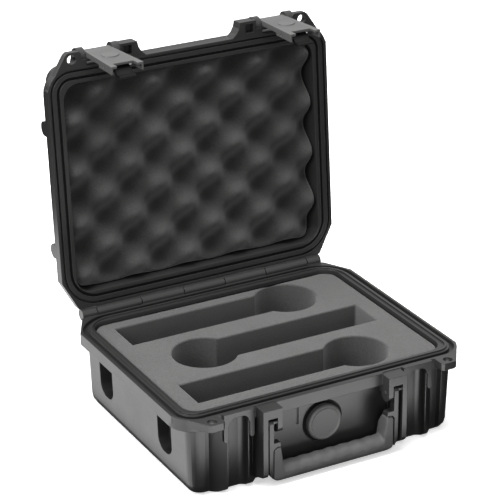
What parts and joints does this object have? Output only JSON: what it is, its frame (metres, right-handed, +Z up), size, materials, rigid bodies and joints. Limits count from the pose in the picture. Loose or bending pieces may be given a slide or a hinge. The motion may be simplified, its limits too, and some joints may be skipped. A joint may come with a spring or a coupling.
{
  "type": "microphone case",
  "caption": "Small watertight moulded utility case with a hinged lid, trigger latches, a folding handle, a pressure valve and foam cut for microphones.",
  "frame": {"origin": "centre of the base on its resting face", "axes": "+X to the right seen from the latch side, +Y towards the hinge, +Z up"},
  "size_m": [0.2688, 0.2835, 0.3071],
  "materials": {
    "shell_plastic": "satin moulded, fine grain",
    "gasket_rubber": "soft matt",
    "base_foam": "open-cell foam, matt",
    "lid_foam": "open-cell foam, matt",
    "pin_steel": "turned",
    "valve_plastic": "satin moulded",
    "grip_rubber": "soft matt",
    "latch_plastic": "satin moulded"
  },
  "bodies": {
    "case_base": {"base_shell": "shell_plastic", "foam_block": "base_foam", "foam_pad": "base_foam", "hinge_pin": "pin_steel", "valve_seal": "gasket_rubber", "valve_body": "valve_plastic", "valve_cap": "valve_plastic", "valve_nut": "valve_plastic", "handle_pin_left": "pin_steel", "handle_pin_right": "pin_steel"},
    "lid": {"lid_shell": "shell_plastic", "lid_gasket": "gasket_rubber", "lid_foam": "lid_foam", "latch_pin_left": "pin_steel", "latch_pin_right": "pin_steel"},
    "handle": {"handle_frame": "shell_plastic", "handle_grip": "grip_rubber"},
    "latch_left": {"latch_left": "latch_plastic", "trigger_pin_left": "pin_steel", "trigger_spring_left": "pin_steel"},
    "trigger_left": {"trigger_left": "latch_plastic"},
    "latch_right": {"latch_right": "latch_plastic", "trigger_pin_right": "pin_steel", "trigger_spring_right": "pin_steel"},
    "trigger_right": {"trigger_right": "latch_plastic"}
  },
  "joints": [
    {"name": "lid_hinge", "type": "hinge", "parent": "case_base", "child": "lid", "pos_m": [0, 0.1126, 0.07367], "axis": [1, 0, 0], "range_deg": [0, 94.35]},
    {"name": "handle_swing", "type": "hinge", "parent": "case_base", "child": "handle", "pos_m": [0, -0.1144, 0.058], "axis": [-1, 0, 0], "range_deg": [-4, 95]},
    {"name": "latch_left_swing", "type": "hinge", "parent": "lid", "child": "latch_left", "pos_m": [-0.084, 0.13756, 0.29852], "axis": [-1, 0, 0], "range_deg": [-4.5, 110]},
    {"name": "latch_right_swing", "type": "hinge", "parent": "lid", "child": "latch_right", "pos_m": [0.084, 0.13756, 0.29852], "axis": [-1, 0, 0], "range_deg": [-4.5, 110]},
    {"name": "trigger_left_pull", "type": "hinge", "parent": "latch_left", "child": "trigger_left", "pos_m": [-0.084, 0.09464, 0.30129], "axis": [-1, 0, 0], "range_deg": [0, 12], "stiffness_Nm_per_rad": 0.05},
    {"name": "trigger_right_pull", "type": "hinge", "parent": "latch_right", "child": "trigger_right", "pos_m": [0.084, 0.09464, 0.30129], "axis": [-1, 0, 0], "range_deg": [0, 12], "stiffness_Nm_per_rad": 0.05}
  ]
}
